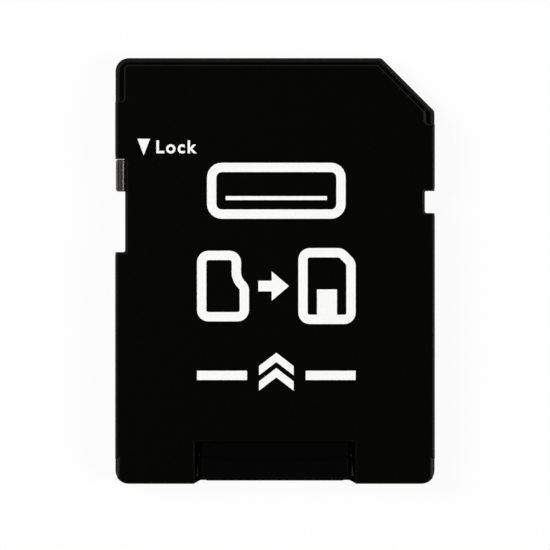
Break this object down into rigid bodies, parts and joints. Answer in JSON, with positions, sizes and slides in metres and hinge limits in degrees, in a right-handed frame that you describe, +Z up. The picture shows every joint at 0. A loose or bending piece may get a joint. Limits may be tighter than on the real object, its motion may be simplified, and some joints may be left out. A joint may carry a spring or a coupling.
{
  "type": "memory card adapter with small memory card",
  "caption": "Flat black memory card adapter with a cut corner, a sliding write lock and a small memory card pushed into its rear mouth, label side up.",
  "frame": {"origin": "middle of the flat contact side, on the surface that the adapter lies on", "axes": "+Z up through the label side; +Y to the contact end that enters the reader; +X to the side with the cut corner and the small notch"},
  "size_m": [0.024, 0.032, 0.0021],
  "materials": {
    "housing_plastic": "black moulded plastic with a fine spark texture",
    "cover_plastic": "black moulded plastic, fine matt texture, white printed marks",
    "slider_plastic": "dark grey moulded plastic, satin",
    "card_plastic": "black moulding compound, smooth satin",
    "terminal_gold": "stamped copper alloy with a thin gold plating",
    "contact_gold": "thin gold plating over copper pads"
  },
  "bodies": {
    "adapter": {"bottom_housing": "housing_plastic", "top_cover": "cover_plastic", "terminal_1": "terminal_gold", "terminal_2": "terminal_gold", "terminal_3": "terminal_gold", "terminal_4": "terminal_gold", "terminal_5": "terminal_gold", "terminal_6": "terminal_gold", "terminal_7": "terminal_gold", "terminal_8": "terminal_gold"},
    "small_card": {"card_body": "card_plastic", "card_contact_1": "contact_gold", "card_contact_2": "contact_gold", "card_contact_3": "contact_gold", "card_contact_4": "contact_gold", "card_contact_5": "contact_gold", "card_contact_6": "contact_gold", "card_contact_7": "contact_gold", "card_contact_8": "contact_gold"},
    "lock": {"lock_slider": "slider_plastic"}
  },
  "joints": [
    {"name": "card_slide", "type": "slide", "parent": "adapter", "child": "small_card", "axis": [0, -1, 0], "range_m": [0, 0.016]},
    {"name": "lock_slide", "type": "slide", "parent": "adapter", "child": "lock", "axis": [0, -1, 0], "range_m": [0, 0.0045]}
  ]
}
